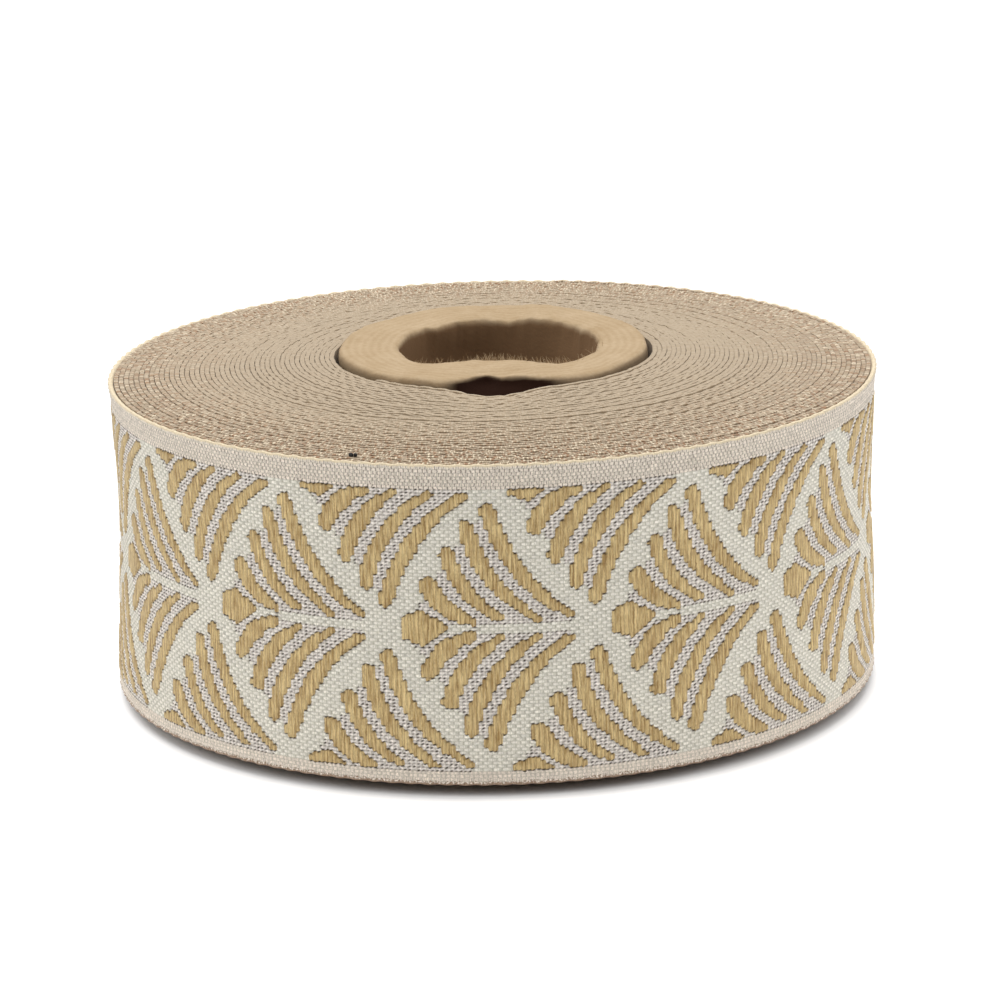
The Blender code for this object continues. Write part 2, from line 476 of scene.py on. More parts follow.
# %% The weave's values, which the material reads
def write_weave(mesh, column, row, corners):
    faces = corners.reshape(-1, 4)
    pick = np.clip(column[faces].min(axis=1) // 2, 0, PICKS_ROUND - 1)
    low_row = row[faces].min(axis=1)
    woven = low_row < 2 * ENDS
    end = np.where(woven, low_row // 2, 0)
    cell = (repeat_of(pick), end)
    gold = woven & gold_chart[cell]
    on_face = row <= 2 * ENDS
    share = gold_share(column, np.where(on_face, row, 0))
    write_values(mesh, "gold", "POINT", np.where(on_face, share, 0.0))
    write_values(mesh, "close", "FACE", woven & close_chart[cell])
    write_values(mesh, "weft", "FACE", (pick + end) % 2 == 0)
    write_values(mesh, "tone", "FACE", np.where(gold, 0.75 * pick_tone[pick], cell_tone[pick, end]))


# %% The three pieces of the outer turn
def outer_piece(name, first_pick, last_pick):
    piece, column, row, corners = flat_grid(name, 2 * (last_pick - first_pick), len(section) - 1)
    column = column + 2 * first_pick
    sink = wind_woven(piece.data, first_pick, last_pick, column, row)
    write_map(piece, corners, 0.5 * column * PICK_MM * MM, section[row, 0] * MM)
    write_weave(piece.data, column, row, corners)
    write_values(piece.data, "sink", "POINT", sink)
    close_strip(piece, 70.0)
    report(piece)
    return piece


outer_cuts = (0, 181, 362, PICKS_ROUND)
outer_turn = [
    outer_piece(f"outer_turn_{k + 1}", outer_cuts[k], outer_cuts[k + 1]) for k in range(3)
]

# %% [markdown]
# ## The inner turns
# Below the outer turn lie about 45 more, of which only the edges show. Their section needs just ten points.
# The edge threads make small loops that stand up in groups of four picks, which gives the end face its
# grain. The nine turns next to the rim get two points for each pick along the ribbon, the others about one.

# %% Section of an inner turn: height above its lower edge and depth, in millimetres
WIDTH_MM = RIBBON_WIDTH / MM
inner_section = np.array(
    [
        (0.12, 0.02),
        (21.0, 0.0),
        (WIDTH_MM - 0.35, 0.0),
        (WIDTH_MM - 0.06, 0.02),
        (WIDTH_MM, 0.26),
        (WIDTH_MM - 0.06, 0.52),
        (WIDTH_MM - 0.35, 0.54),
        (21.0, 0.53),
        (0.12, 0.51),
        (0.0, 0.26),
        (0.12, 0.02),
    ]
)
LOOPS = np.array([0.0, 0.0, 0.0, 1.0, 1.0, 1.0, 0.0, 0.0, 0.0, 0.0, 0.0])


# %% Winding the inner turns
def length_to(turns):
    """Length of ribbon from the cut end to a point that many turns in."""
    return 2.0 * math.pi * (ROLL_RADIUS * turns - 0.5 * TURN_PITCH * turns**2)


def turns_at(length):
    """The reverse of length_to, from the solution of its quadratic."""
    inside = ROLL_RADIUS**2 - TURN_PITCH * length / math.pi
    return (ROLL_RADIUS - np.sqrt(inside)) / TURN_PITCH


def inner_piece(name, first_turn, last_turn, step):
    start, stop = length_to(first_turn), length_to(last_turn)
    columns = int((stop - start) / step)
    piece, column, row, corners = flat_grid(name, columns, len(inner_section) - 1)
    length = start + (stop - start) * column / columns
    turns = turns_at(length)
    picks = length / (PICK_MM * MM)
    noise_of = chance.normal(0.0, 1.0, (3, columns + 1))
    loop = edge_lump(picks) + 0.35 * np.cos(2.0 * math.pi * picks) + 0.3 * noise_of[0][column]
    height = inner_section[row, 0] + 0.08 * LOOPS[row] * loop + turn_slide(turns)
    depth = inner_section[row, 1] + LOOPS[row] * 0.02 * noise_of[1][column]
    write_points(piece.data, wind(turns, height * MM, depth * MM))
    write_map(piece, corners, length, inner_section[row, 0] * MM)
    # Sink is painted shade: full away from the edge loops and least on their tops
    write_values(piece.data, "sink", "POINT", np.clip(1.0 - LOOPS[row] * (0.55 + 0.45 * loop), 0.0, 1.0))
    close_strip(piece, 50.0)
    report(piece)
    return piece, stop - start


def turn_slide(turns):
    """A turn seldom lies quite level with the one below it."""
    return 0.04 * np.sin(2.3 * turns) * np.sin(0.37 * turns + 1.0) + 0.02 * np.sin(7.9 * turns)


INNER_CUTS = (("rim", 1.0, 10.0, 0.25), ("middle", 10.0, 24.0, 0.5), ("core", 24.0, 45.6, 0.66))
inner_turns = [
    inner_piece(f"inner_turns_{name}", first, last, step * MM) for name, first, last, step in INNER_CUTS
]
print("Ribbon on the roll, in metres:", round(length_to(INNER_CUTS[-1][2]), 2))

# %% [markdown]
# ## The cardboard tube
# The tube is thick spiral-wound board, sawn off square. Its edge is worn soft, the bore is ragged at the top,
# and there is a dent at the front. A torus primitive already has the right kinship: it is a closed ring
# with a closed section. So we keep its faces and lay its section's points along the tube's profile.

# %% Profile of the tube: radius and height in millimetres, walked up the outside and down the bore
core_profile = (
    [(17.5, 0.0), (17.7, 0.2), (17.7, 12.0), (17.7, 24.0), (17.7, 33.8)]
    + [(17.7, 35.0), (17.7, 36.0), (17.7, 36.8), (17.7, 37.3)]
    + [(17.64, 37.6), (17.5, 37.8), (17.28, 37.94), (17.0, 38.0)]
    + [(16.5 - 0.46 * k, 37.97 - 0.01 * k) for k in range(11)]
    + [(11.72, 37.84), (11.5, 37.76), (11.32, 37.62), (11.22, 37.4)]
    + [(11.2, 37.1), (11.2, 36.7), (11.2, 36.2), (11.2, 35.6), (11.2, 34.8), (11.2, 33.6)]
    + [(11.2, 31.0), (11.2, 26.0), (11.2, 18.0), (11.2, 9.0), (11.2, 0.2), (11.4, 0.0)]
)
CORE_SEGMENTS = 320
TUBE_STRETCH = 1.0092
print("Points round the tube's profile:", len(core_profile))


# %% The tube as a plain ring
def tube_ring():
    """A ring of faces, and each point's angle round it and radius and height on the profile."""
    deselect_all()
    bpy.ops.mesh.primitive_torus_add(
        major_segments=CORE_SEGMENTS,
        minor_segments=len(core_profile),
        major_radius=1.0,
        minor_radius=0.25,
    )
    piece = bpy.context.active_object
    piece.name = "card_tube"
    points = read_points(piece.data)
    angle = np.arctan2(points[:, 1], points[:, 0])
    turn = np.arctan2(points[:, 2], np.hypot(points[:, 0], points[:, 1]) - 1.0)
    step = np.rint(turn / (2.0 * math.pi) * len(core_profile)).astype(int) % len(core_profile)
    profile = np.array(core_profile)[step]
    return piece, angle, profile[:, 0], profile[:, 1]


# %% Wear on the tube
CRUSH_HALF_ANGLE = math.radians(58.0)
CRUSH_MM = 3.3


def crush(angle):
    """How far the front of the tube is crushed inwards, from 0 to 1."""
    return hump(angle, DENT_ANGLE, CRUSH_HALF_ANGLE)


def front_dent(angle):
    left = hump(angle, math.radians(-95.0), math.radians(17.0))
    return np.maximum(left, 0.7 * hump(angle, math.radians(-85.0), math.radians(24.0)))


def ring_noise(angle, radius, scale):
    """Noise that changes along the ring and, more slowly, across its wall."""
    places = zip(np.cos(angle) * scale, np.sin(angle) * scale, 0.09 * scale * radius)
    return np.array([noise.noise(place) for place in places])


def worn(angle, radius, height):
    """Radius and height in millimetres with waves, tears, the dent and the crushed front."""
    notch = hump(angle, math.radians(80.0), math.radians(14.0))
    upper = np.clip((height - 33.8) / 3.5, 0.0, 1.0)
    top = np.clip((height - 36.6) / 1.0, 0.0, 1.0)
    outer = np.clip((radius - 11.6) / 6.1, 0.0, 1.0)
    in_bore = np.clip((13.2 - radius) / 1.6, 0.0, 1.0)
    wave = 0.16 * np.sin(3.0 * angle + 0.6) * np.sin(5.0 * angle)
    ragged = 0.22 * np.sin(4.0 * angle + 1.1) * np.sin(7.0 * angle)
    rough, fine = ring_noise(angle, radius, 9.0), ring_noise(angle, radius, 30.0)
    height = height + top * (wave + (0.6 * crush(angle) - 0.4 * notch) * (1.0 - outer))
    height = height + top * (0.12 * rough + 0.07 * fine + 0.8 * np.maximum(0.0, np.sin(angle)))
    radius = radius - upper * outer * (3.4 * front_dent(angle) ** 1.2 + 0.2 + 0.2 * np.cos(angle))
    torn = ragged + 0.2 * rough + 0.1 * fine - 0.8 * hump(angle, math.radians(112.0), math.radians(35.0))
    radius = radius + upper * in_bore * (torn - CRUSH_MM * crush(angle) + 0.4 * np.cos(angle))
    return radius, height * TUBE_STRETCH


# %% The tube
def make_core():
    piece, angle, radius, height = tube_ring()
    dent = front_dent(angle)
    # Seam: painted shade on the tube's wall in the gap beside the ribbon
    seam = np.where(radius > 17.1, np.clip((37.85 + 0.3 * dent - height) / 0.35, 0.0, 1.0), 0.0)
    # Deep: painted shade down the bore below its pale rim
    deep = np.where(radius < 11.6, np.clip((37.9 - height) / 1.2, 0.0, 1.0), 0.0)
    radius, height = worn(angle, radius, height)
    placed = np.stack([radius * np.cos(angle), radius * np.sin(angle), height], axis=1) * MM
    write_points(piece.data, placed + np.array([CORE_AXIS[0], CORE_AXIS[1], 0.0]))
    # The seam's painted shade is darkest in the dent and stronger on the right than on the left
    shaded = 0.35 + 2.5 * dent + 0.2 * np.maximum(0.0, np.cos(angle))
    write_values(piece.data, "seam", "POINT", seam * np.minimum(1.0, shaded))
    write_values(piece.data, "deep", "POINT", deep)
    select_only(piece)
    bpy.ops.object.mode_set(mode="EDIT")
    bpy.ops.mesh.select_all(action="SELECT")
    bpy.ops.mesh.normals_make_consistent(inside=False)
    bpy.ops.object.mode_set(mode="OBJECT")
    bpy.ops.object.shade_smooth_by_angle(angle=math.radians(50.0))
    report(piece)
    return piece


card_tube = make_core()

# %% [markdown]
# ## Fibres at the bore
# Sawn cardboard leaves a fringe of paper fibres. One fibre is a thin cone with a bend in it.
# We model it once, and copy it round the bore with its own turn, length and lean each time.
# Hair particles would be quicker to place, but they are no mesh and would be lost in the export.


# %% One fibre
def make_fibre():
    deselect_all()
    bpy.ops.mesh.primitive_cone_add(vertices=4, radius1=0.04 * MM, radius2=0.012 * MM, depth=1.0 * MM)
    piece = bpy.context.active_object
    piece.name = "fibre"
    bpy.ops.object.mode_set(mode="EDIT")
    bpy.ops.mesh.select_all(action="SELECT")
    bpy.ops.mesh.subdivide(number_cuts=2)
    bpy.ops.object.mode_set(mode="OBJECT")
    points = read_points(piece.data)
    points[:, 2] += 0.5 * MM
    points[:, 0] += 0.35 * MM * (points[:, 2] / MM) ** 2
    write_points(piece.data, points)
    return piece


# %% Fibres round the bore
FIBRES = 420
fibre = make_fibre()
fibre_copies = []
for k in range(FIBRES):
    angle = math.radians(-84.0 + 30.0 * float(chance.normal()))
    crushed = float(crush(np.array(angle)))
    inwards = CRUSH_MM * crushed - 0.1 - 0.8 * float(chance.random()) - 0.4 * math.cos(angle)
    reach = BORE_RADIUS - inwards * MM
    base = Vector((CORE_AXIS[0] + reach * math.cos(angle), CORE_AXIS[1] + reach * math.sin(angle), 0.0))
    base.z = (37.95 + 0.55 * crushed) * MM
    lean = math.radians(float(chance.uniform(-65.0, 10.0)))
    place = (
        Matrix.Translation(base)
        @ Matrix.Rotation(angle, 4, "Z")
        @ Matrix.Rotation(lean, 4, "Y")
        @ Matrix.Rotation(float(chance.uniform(0.0, 2.0 * math.pi)), 4, "Z")
        @ Matrix.Scale(0.35 + 0.65 * float(chance.random()) ** 2, 4)
    )
    made = fibre.copy()
    made.data = fibre.data.copy()
    made.data.transform(place)
    bpy.context.collection.objects.link(made)
    fibre_copies.append(made)

deselect_all()
for made in fibre_copies:
    made.select_set(True)
bpy.context.view_layer.objects.active = fibre_copies[0]
bpy.ops.object.join()
core_fibres = bpy.context.active_object
core_fibres.name = "core_fibres"
bpy.data.objects.remove(fibre, do_unlink=True)
report(core_fibres)

# %% [markdown]
# ## A speck of lint
# A tiny dark speck has settled on the edges of the turns near the front. It is two small crumbs side by side.
# Little faults like this make a clean model look real. Each crumb is an icosphere that is flattened
# and pushed about, so that it is no longer a ball.


# %% Lint speck
def make_speck():
    crumbs = []
    for shift, size in ((-0.2, 0.27), (0.24, 0.22)):
        deselect_all()
        bpy.ops.mesh.primitive_ico_sphere_add(subdivisions=3, radius=size * MM)
        crumb = bpy.context.active_object
        points = read_points(crumb.data)
        seeds = points * 4000.0 + np.array([shift * 9.0, 0.0, 0.0])
        bumps = np.array([noise.noise(seed) for seed in seeds])
        points *= (1.0 + 0.35 * bumps)[:, None]
        points[:, 2] *= 0.8
        points[:, 0] += shift * MM
        write_points(crumb.data, points)
        bpy.ops.object.shade_smooth()
        crumbs.append(crumb)
    deselect_all()
    for crumb in crumbs:
        crumb.select_set(True)
    bpy.context.view_layer.objects.active = crumbs[0]
    bpy.ops.object.join()
    speck = bpy.context.active_object
    speck.name = "lint_speck"
    place = wind(np.array(2.527), np.array(RIBBON_WIDTH), np.array(0.25 * MM))
    speck.data.transform(Matrix.Translation(Vector(place) + Vector((0.15 * MM, 0.3 * MM, 0.24 * MM))))
    report(speck)
    return speck


lint_speck = make_speck()

# %% [markdown]
# ## Helpers for materials
# A material is a graph of nodes. A few short functions keep the graphs readable: one adds a node and fills
# or links its inputs, and the others use it for sums, mixed colours, noise and stored values.
# Colours are typed as they look on a screen, from 0 to 255, and turned into the linear values
# that Blender works in.


# %% Material helpers
def colour(red, green, blue):
    def linear(value):
        share = value / 255.0
        return share / 12.92 if share <= 0.04045 else ((share + 0.055) / 1.055) ** 2.4

    return (linear(red), linear(green), linear(blue), 1.0)


def new_material(name):
    made = bpy.data.materials.new(name)
    made.use_nodes = True
    return made, made.node_tree, made.node_tree.nodes["Principled BSDF"]


def put(tree, socket, value):
    if isinstance(value, bpy.types.NodeSocket):
        tree.links.new(value, socket)
    else:
        socket.default_value = value


def add_node(tree, kind, inputs=(), **settings):
    made = tree.nodes.new(kind)
    for name, value in settings.items():
        setattr(made, name, value)
    for index, value in inputs:
        put(tree, made.inputs[index], value)
    return made


def sums(tree, operation, first, second=0.0, third=0.0):
    inputs = [(0, first), (1, second)]
    if operation == "MULTIPLY_ADD":
        inputs.append((2, third))
    return add_node(tree, "ShaderNodeMath", inputs, operation=operation).outputs[0]


def vectors(tree, operation, first, second=(0.0, 0.0, 0.0)):
    return add_node(tree, "ShaderNodeVectorMath", [(0, first), (1, second)], operation=operation)


def mix(tree, factor, first, second, blend="MIX"):
    inputs = [(0, factor), (6, first), (7, second)]
    return add_node(tree, "ShaderNodeMix", inputs, data_type="RGBA", blend_type=blend).outputs[2]


def grey(tree, value):
    return add_node(tree, "ShaderNodeCombineColor", [(0, value), (1, value), (2, value)]).outputs[0]


def value_of(tree, name):
    return add_node(tree, "ShaderNodeAttribute", attribute_name=name).outputs["Fac"]


def noise_on(tree, vector, scale, detail=2.0, stretch=(1.0, 1.0, 1.0)):
    mapped = add_node(tree, "ShaderNodeMapping", [(0, vector), (3, stretch)]).outputs[0]
    return add_node(tree, "ShaderNodeTexNoise", [(0, mapped), (2, scale), (3, detail)]).outputs["Fac"]


def ramp(tree, factor, low, high):
    """Maps factor from low..high to 0..1 and clamps it."""
    made = add_node(tree, "ShaderNodeMapRange", [(0, factor), (1, low), (2, high), (3, 0.0), (4, 1.0)])
    return made.outputs[0]


def paint(pieces, finish):
    """Gives the pieces this material and no other."""
    for piece in pieces:
        piece.data.materials.clear()
        piece.data.materials.append(finish)
    print(f"Nodes in {finish.name}:", len(finish.node_tree.nodes))


# %% [markdown]
# ## The woven cloth
# The outer turn's material reads the values that we stored with the weave: gold, weft, close, tone and sink,
# which paints shade into the pits and grooves.
# On top of them comes a fine streak along the threads, because each thread is a bundle of shiny filaments.
# The streaks come from a noise texture that is stretched on the UV map, up across the ribbon.

# %% Colours of the cloth
WARP_CREAM = colour(206, 201, 188)
WEFT_CREAM = colour(230, 225, 214)
CLOSE_LILAC = colour(236, 226, 221)
SELVEDGE_CREAM = colour(226, 214, 200)
# Painted shade in the gaps between threads
GAP_SHADE_GREY = colour(150, 146, 124)
# Painted shade in the selvedge's upright gaps
TICK_SHADE_BROWN = colour(96, 84, 74)
GOLD_LIGHT = colour(222, 197, 142)
GOLD_DEEP = colour(152, 120, 68)
# Painted shade in pits, in grooves and beside each gold pick
PIT_SHADE_BROWN = colour(54, 38, 26)
# The edge thread's gold loops at the top rim: partly their own colour, partly painted highlight
LIT_EDGE_YELLOW = colour(226, 208, 174)
# The same loops at the lower rim: partly their own colour, partly painted shade
SHADED_EDGE_BROWN = colour(132, 100, 74)


# %% Painted shade in the gaps between the threads
def from_middle(tree, count):
    """How far a point is from the middle of its thread: 0 at the middle and 1 at the side."""
    share = sums(tree, "SUBTRACT", sums(tree, "FRACT", count), 0.5)
    return sums(tree, "MULTIPLY", sums(tree, "ABSOLUTE", share), 2.0)


def thread_gaps(tree, pick, end, weft):
    """Painted shade in the seams round each cell, narrow at the ends of a thread's float and wide beside it.
    """
    beside, over = from_middle(tree, pick), from_middle(tree, end)
    weft_gap = sums(
        tree,
        "MAXIMUM",
        ramp(tree, over, 0.5, 1.0),
        sums(tree, "MULTIPLY", ramp(tree, beside, 0.75, 1.0), 0.8),
    )
    warp_gap = sums(
        tree,
        "MAXIMUM",
        ramp(tree, beside, 0.55, 1.0),
        sums(tree, "MULTIPLY", ramp(tree, over, 0.75, 1.0), 0.6),
    )
    change = sums(tree, "SUBTRACT", weft_gap, warp_gap)
    return sums(tree, "MULTIPLY_ADD", change, weft, warp_gap)


def selvedge_ticks(tree, pick, end):
    """Painted shade in the short upright gaps between the selvedge's threads, staggered from row to row."""
    stagger = sums(tree, "MULTIPLY_ADD", sums(tree, "FLOOR", end), 0.42, pick)
    return ramp(tree, from_middle(tree, stagger), 0.68, 0.95)


# %% Cloth of the outer turn
def make_cloth():
    made, tree, shader = new_material("woven_cloth")
    layout = add_node(tree, "ShaderNodeUVMap", uv_map="ribbon").outputs[0]
    split = add_node(tree, "ShaderNodeSeparateXYZ", [(0, layout)])
    across = split.outputs[1]
    wobble = noise_on(tree, layout, 240.0, 1.0)
    pick = sums(tree, "MULTIPLY_ADD", split.outputs[0], 100.0 / PICK_MM, sums(tree, "MULTIPLY", wobble, 0.6))
    end = sums(tree, "MULTIPLY_ADD", across, 100.0 / END_MM, -FACE_LOW_MM / END_MM)
    tone, sink, close = value_of(tree, "tone"), value_of(tree, "sink"), value_of(tree, "close")
    weft = value_of(tree, "weft")
    gold = ramp(tree, value_of(tree, "gold"), 0.44, 0.52)
    streak = noise_on(tree, layout, 60.0, 3.0, (9.0, 0.8, 1.0))
    fleck = noise_on(tree, layout, 400.0, 2.0, (1.0, 1.3, 1.0))
    rim = ramp(tree, sums(tree, "MULTIPLY_ADD", fleck, 0.004, across), 0.3495, 0.3505)
    low_rim = ramp(tree, sums(tree, "MULTIPLY_ADD", fleck, 0.014, across), 0.0112, 0.0096)
    low_border = 0.01 * (FACE_LOW_MM + LOW_BORDER_ENDS * END_MM)
    top_border = 0.01 * (FACE_LOW_MM + (ENDS - TOP_BORDER_ENDS) * END_MM)
    low_side = ramp(tree, across, low_border + 0.0001, low_border - 0.0001)
    top_side = ramp(tree, across, top_border - 0.0001, top_border + 0.0001)
    border = sums(tree, "ADD", low_side, top_side)

    gaps = thread_gaps(tree, pick, end, weft)
    ground = mix(tree, weft, WARP_CREAM, WEFT_CREAM)
    ground = mix(tree, sums(tree, "MULTIPLY", close, 0.6), ground, CLOSE_LILAC)
    ground = mix(tree, border, ground, SELVEDGE_CREAM)
    shade = sums(tree, "MULTIPLY_ADD", fleck, 0.8, sums(tree, "MULTIPLY_ADD", tone, 0.05, 0.6))
    ground = mix(tree, 1.0, ground, grey(tree, shade), "MULTIPLY")
    # The gaps between the threads get painted shade
    ground = mix(tree, sums(tree, "MULTIPLY", gaps, 0.6), ground, GAP_SHADE_GREY)
    ticked = sums(tree, "MULTIPLY_ADD", low_side, 0.4, top_side)
    ticks = sums(tree, "MULTIPLY", selvedge_ticks(tree, pick, end), ticked)
    # The selvedge's gaps get painted shade
    ground = mix(tree, sums(tree, "MULTIPLY", ticks, 0.7), ground, TICK_SHADE_BROWN)

    beside = ramp(tree, from_middle(tree, pick), 0.6, 1.0)
    gold_level = sums(tree, "MULTIPLY_ADD", tone, 0.1, sums(tree, "MULTIPLY_ADD", streak, 2.6, -0.8))
    metal = mix(tree, ramp(tree, gold_level, 0.0, 1.0), GOLD_DEEP, GOLD_LIGHT)
    # Painted shade beside the middle of each gold pick
    metal = mix(tree, sums(tree, "MULTIPLY", beside, 0.32), metal, PIT_SHADE_BROWN)
    cloth = mix(tree, gold, ground, metal)
    # The rims: the edge loops' colour, with painted highlight at the top and painted shade at the bottom
    cloth = mix(tree, sums(tree, "MULTIPLY", rim, 0.8), cloth, LIT_EDGE_YELLOW)
    cloth = mix(tree, sums(tree, "MULTIPLY", low_rim, 0.8), cloth, SHADED_EDGE_BROWN)
    # Sink paints shade into the pits and grooves
    cloth = mix(tree, sums(tree, "MULTIPLY", ramp(tree, sink, 0.15, 0.75), 0.96), cloth, PIT_SHADE_BROWN)
    put(tree, shader.inputs["Base Color"], cloth)

    shape = sums(tree, "SUBTRACT", sums(tree, "MULTIPLY", streak, 0.6), gaps)
    shape = sums(tree, "SUBTRACT", shape, ticks)
    bump = add_node(tree, "ShaderNodeBump", [(0, 0.6), (1, 0.00005)])
    put(tree, bump.inputs["Height"], shape)
    put(tree, shader.inputs["Normal"], bump.outputs[0])
    put(tree, shader.inputs["Roughness"], sums(tree, "MULTIPLY_ADD", gold, -0.3, 0.8))
    shader.inputs["Specular IOR Level"].default_value = 0.35
    shader.inputs["Sheen Weight"].default_value = 0.06
    shader.inputs["Sheen Roughness"].default_value = 0.5
    return made


paint(outer_turn, make_cloth())

# %% [markdown]
# ## The edges of the turns
# Seen from above, the cloth's edge shows the cut side of every pick: cream and yellow loops, rust-brown gold
# thread, and gaps in shade. From a distance they blend into a warm beige. Noise of the size of one pick
# chooses the colour of each loop, and the stored sink paints shade into the gaps. Both are strongest in the
# turns next to the rim. Object coordinates without their height, made one unit long, point straight out from
# the axis, and noise on them gives faint rays across the turns.

# %% Colours of the turns' edges
LOOP_PALE = colour(175, 158, 134)
LOOP_BEIGE = colour(162, 143, 117)
SPECK_PALE = colour(236, 220, 192)
SPECK_RUST = colour(142, 98, 58)
# Painted shade in the gaps between loops and turns
GAP_SHADE_BROWN = colour(96, 74, 58)


# %% Material of the inner turns
def make_edges():
    made, tree, shader = new_material("turn_edges")
    layout = add_node(tree, "ShaderNodeUVMap", uv_map="ribbon").outputs[0]
    speckle = noise_on(tree, layout, 420.0, 1.0, (1.0, 0.3, 1.0))
    drift = noise_on(tree, layout, 230.0, 1.0, (1.0, 0.3, 1.0))
    length = add_node(tree, "ShaderNodeSeparateXYZ", [(0, layout)]).outputs[0]
    near_rim = ramp(tree, length, 64.0, 14.0)
    loops = mix(tree, ramp(tree, speckle, 0.4, 0.62), LOOP_BEIGE, LOOP_PALE)
    pale = sums(tree, "MULTIPLY_ADD", near_rim, 0.85, 0.03)
    loops = mix(tree, sums(tree, "MULTIPLY", ramp(tree, speckle, 0.52, 0.62), pale), loops, SPECK_PALE)
    rust = sums(tree, "MULTIPLY_ADD", near_rim, 0.7, 0.06)
    loops = mix(tree, sums(tree, "MULTIPLY", ramp(tree, drift, 0.5, 0.62), rust), loops, SPECK_RUST)
    depth = sums(tree, "MULTIPLY_ADD", near_rim, 0.55, 0.04)
    # The gaps get painted shade, most in the turns next to the rim
    gaps = sums(tree, "MULTIPLY", value_of(tree, "sink"), depth)
    place = add_node(tree, "ShaderNodeTexCoord").outputs["Object"]
    flat = vectors(tree, "MULTIPLY", place, (1.0, 1.0, 0.0)).outputs[0]
    outwards = vectors(tree, "NORMALIZE", flat).outputs[0]
    rays = sums(tree, "MULTIPLY_ADD", noise_on(tree, outwards, 45.0, 1.0), 0.2, 0.9)
    loops = mix(tree, 1.0, loops, grey(tree, rays), "MULTIPLY")
    put(tree, shader.inputs["Base Color"], mix(tree, gaps, loops, GAP_SHADE_BROWN))
    bump = add_node(tree, "ShaderNodeBump", [(0, 0.5), (1, 0.0001)])
    put(tree, bump.inputs["Height"], speckle)
    put(tree, shader.inputs["Normal"], bump.outputs[0])
    shader.inputs["Roughness"].default_value = 0.85
    shader.inputs["Sheen Weight"].default_value = 0.1
    return made


paint([piece for piece, _ in inner_turns], make_edges())

# %% [markdown]
# ## Cardboard
# The sawn end is pale kraft board with faint rings where its plies meet. They come from Object coordinates:
# we subtract the tube's axis from them, and the length of x and y is then the radius.
# The bore is painted much darker below its pale rim, and so is the seam beside the ribbon: both are painted
# shade, in the hole and in the gap between tube and ribbon. Both were stored with the tube's points, as deep
# and seam.

# %% Colours of the cardboard
KRAFT_LIGHT = colour(183, 161, 131)
KRAFT_DEEP = colour(165, 141, 108)
# Painted shade down the bore
BORE_SHADE_BROWN = colour(132, 103, 74)
# Painted shade in the gap between the tube and the ribbon
SEAM_SHADE_BROWN = colour(42, 20, 8)


# %% Cardboard
def make_cardboard():
    made, tree, shader = new_material("kraft_board")
    place = add_node(tree, "ShaderNodeTexCoord").outputs["Object"]
    centred = vectors(tree, "SUBTRACT", place, (CORE_AXIS[0], CORE_AXIS[1], 0.0)).outputs[0]
    flat = vectors(tree, "MULTIPLY", centred, (1.0, 1.0, 0.0)).outputs[0]
    radius = vectors(tree, "LENGTH", flat).outputs["Value"]
    blotch = noise_on(tree, centred, 320.0, 4.0)
    grain = noise_on(tree, centred, 2600.0, 3.0)
    plies = sums(tree, "MULTIPLY_ADD", blotch, 2.0, sums(tree, "MULTIPLY", radius, 7000.0))
    mottle = sums(tree, "MULTIPLY_ADD", grain, 0.5, sums(tree, "MULTIPLY", blotch, 0.7))
    tone = sums(tree, "MULTIPLY_ADD", sums(tree, "SINE", plies), 0.07, mottle)
    board = mix(tree, ramp(tree, tone, 0.35, 0.85), KRAFT_DEEP, KRAFT_LIGHT)
    wander = noise_on(tree, centred, 260.0, 3.0, (1.0, 1.0, 0.2))
    below = sums(tree, "MULTIPLY_ADD", wander, 0.5, value_of(tree, "deep"))
    # The bore darkens below its rim as painted shade
    board = mix(tree, ramp(tree, below, 0.4, 0.8), board, BORE_SHADE_BROWN)
    # The seam beside the ribbon gets painted shade
    put(tree, shader.inputs["Base Color"], mix(tree, value_of(tree, "seam"), board, SEAM_SHADE_BROWN))
    bump = add_node(tree, "ShaderNodeBump", [(0, 0.4), (1, 0.00025)])
    put(tree, bump.inputs["Height"], sums(tree, "MULTIPLY_ADD", grain, 0.5, blotch))
    put(tree, shader.inputs["Normal"], bump.outputs[0])
    shader.inputs["Roughness"].default_value = 0.92
    shader.inputs["Specular IOR Level"].default_value = 0.2
    return made


paint([card_tube, core_fibres], make_cardboard())

# %% [markdown]
# ## Lint
# The speck only has to be nearly black and dull, but a little mottling keeps it from looking like a hole.

# %% Lint material
LINT_BLACK = colour(8, 7, 6)
LINT_BROWN = colour(30, 25, 21)


def make_lint():
    made, tree, shader = new_material("dark_lint")
    place = add_node(tree, "ShaderNodeTexCoord").outputs["Object"]
    mottle = noise_on(tree, place, 5000.0, 2.0)
    put(tree, shader.inputs["Base Color"], mix(tree, mottle, LINT_BLACK, LINT_BROWN))
    shader.inputs["Roughness"].default_value = 0.8
    return made


paint([lint_speck], make_lint())

# %% [markdown]
# ## Joining the pieces to the frame
# Every piece rides on the one body of the model, called root, and the CAD nodes that the pieces replace are
# hidden.

# %% Ride and replace
for piece in outer_turn + [piece for piece, _ in inner_turns]:
    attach(piece, "root")
    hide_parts("ribbon_roll")
for piece in (card_tube, core_fibres):
    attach(piece, "root")
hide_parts("core_tube")
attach(lint_speck, "root")

# %% [markdown]
# ## Floor and light
# The roll stands on plain white with no horizon, so the floor is one wide plane. The light is the soft,
# even light of a photo tent: a white sky that is bright above and behind and dark near the horizon,
# and three large area lights, one above, one at the left and one at the right.
# Big lights have soft edges, but the wall of the roll still keeps half of the sky from the floor beside it.
# So the floor is given painted light: it glows a little in a ring round the foot of the roll, which lightens
# the shadow there, and only a thin contact shadow is left. The ring lies a little to the front, where the gap
# stays darkest.

# %% Floor
GLOW_START, GLOW_FULL, GLOW_FADES, GLOW_ENDS = 0.0421, 0.0436, 0.05, 0.085
GLOW_SHIFT = 0.0014
GLOW_STRENGTH = 0.3

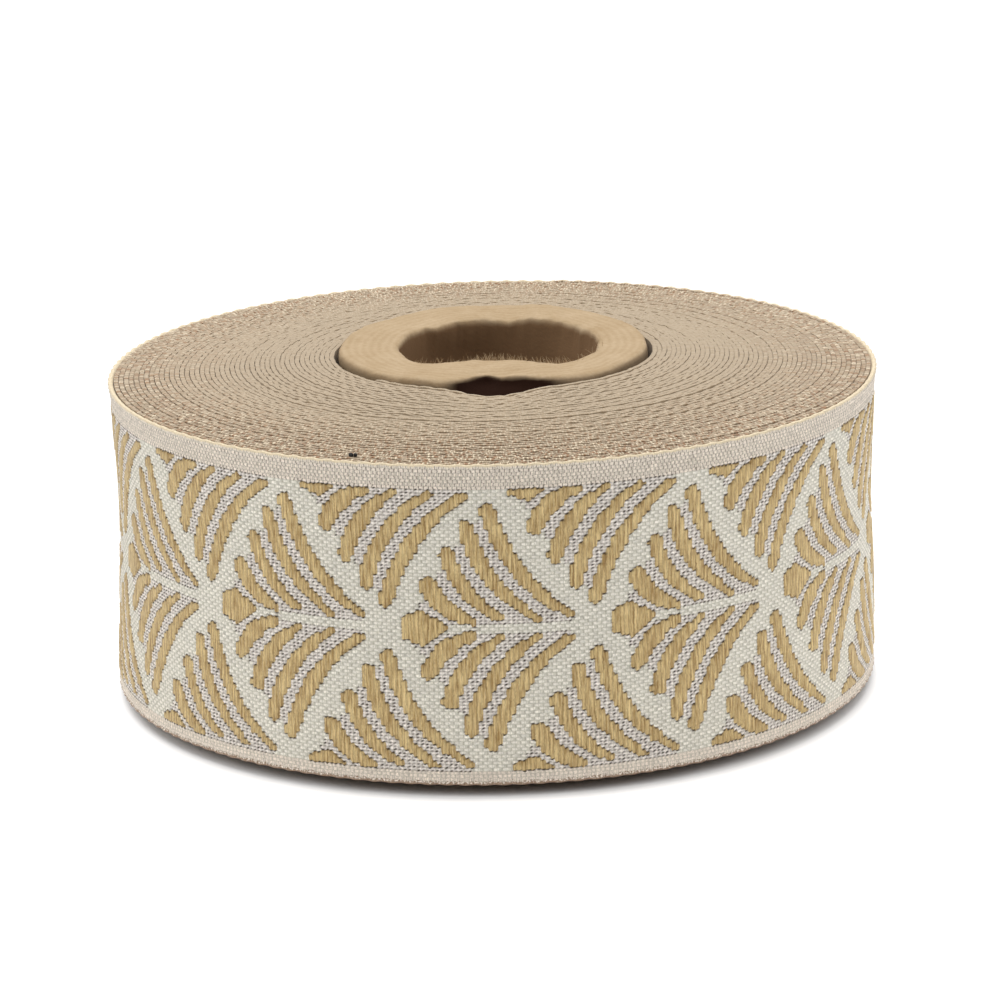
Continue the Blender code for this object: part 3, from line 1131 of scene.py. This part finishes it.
deselect_all()
bpy.ops.mesh.primitive_plane_add(size=6.0)
floor = bpy.context.active_object
floor.name = "floor"
floor_paint, floor_tree, floor_shader = new_material("pale_floor")
floor_shader.inputs["Base Color"].default_value = (0.93, 0.93, 0.93, 1.0)
floor_shader.inputs["Roughness"].default_value = 0.9
floor_shader.inputs["Specular IOR Level"].default_value = 0.1
floor_place = add_node(floor_tree, "ShaderNodeTexCoord").outputs["Object"]
from_middle_of_ring = vectors(floor_tree, "ADD", floor_place, (0.0, GLOW_SHIFT, 0.0)).outputs[0]
away = vectors(floor_tree, "LENGTH", from_middle_of_ring).outputs["Value"]
rising, fading = ramp(floor_tree, away, GLOW_START, GLOW_FULL), ramp(floor_tree, away, GLOW_ENDS, GLOW_FADES)
# Painted light: the floor glows in a ring round the foot of the roll, lifting its shadow
glow = sums(floor_tree, "MULTIPLY", sums(floor_tree, "MULTIPLY", rising, fading), GLOW_STRENGTH)
floor_shader.inputs["Emission Color"].default_value = (1.0, 1.0, 1.0, 1.0)
put(floor_tree, floor_shader.inputs["Emission Strength"], glow)
floor.data.materials.append(floor_paint)
print("The floor glows from", GLOW_START, "to", GLOW_ENDS, "m from the middle of its ring")

# %% Sky
world = bpy.data.worlds.new("studio")
bpy.context.scene.world = world
world.use_nodes = True
sky_tree = world.node_tree
sky = sky_tree.nodes["Background"]
direction = add_node(sky_tree, "ShaderNodeTexCoord").outputs["Generated"]
_, towards_back, upwards = add_node(sky_tree, "ShaderNodeSeparateXYZ", [(0, direction)]).outputs
room = add_node(sky_tree, "ShaderNodeMapRange", [(0, towards_back), (1, -1.0), (2, 0.6), (3, 0.53), (4, 1.2)])
ceiling = add_node(sky_tree, "ShaderNodeMapRange", [(0, upwards), (1, 0.22), (2, 0.65), (3, 0.03), (4, 1.42)])
put(sky_tree, sky.inputs["Strength"], sums(sky_tree, "MULTIPLY", room.outputs[0], ceiling.outputs[0]))
sky.inputs["Color"].default_value = (1.0, 1.0, 1.0, 1.0)
print("Nodes in the sky:", len(sky_tree.nodes))


# %% Area lights
def area_light(name, place, size, power):
    """A square area light that faces the middle of the roll."""
    bpy.ops.object.light_add(type="AREA", location=place)
    light = bpy.context.active_object
    light.name = name
    light.data.size = size
    light.data.energy = power
    away = Vector(place) - Vector((0.0, 0.0, 0.02))
    light.rotation_euler = away.to_track_quat("Z", "Y").to_euler()
    return light


area_light("top_light", (0.0, 0.2, 0.9), 0.9, 2.5)
area_light("left_light", (-0.9, -0.15, 0.4), 0.6, 2.1)
area_light("right_light", (0.9, -0.15, 0.4), 0.6, 1.7)
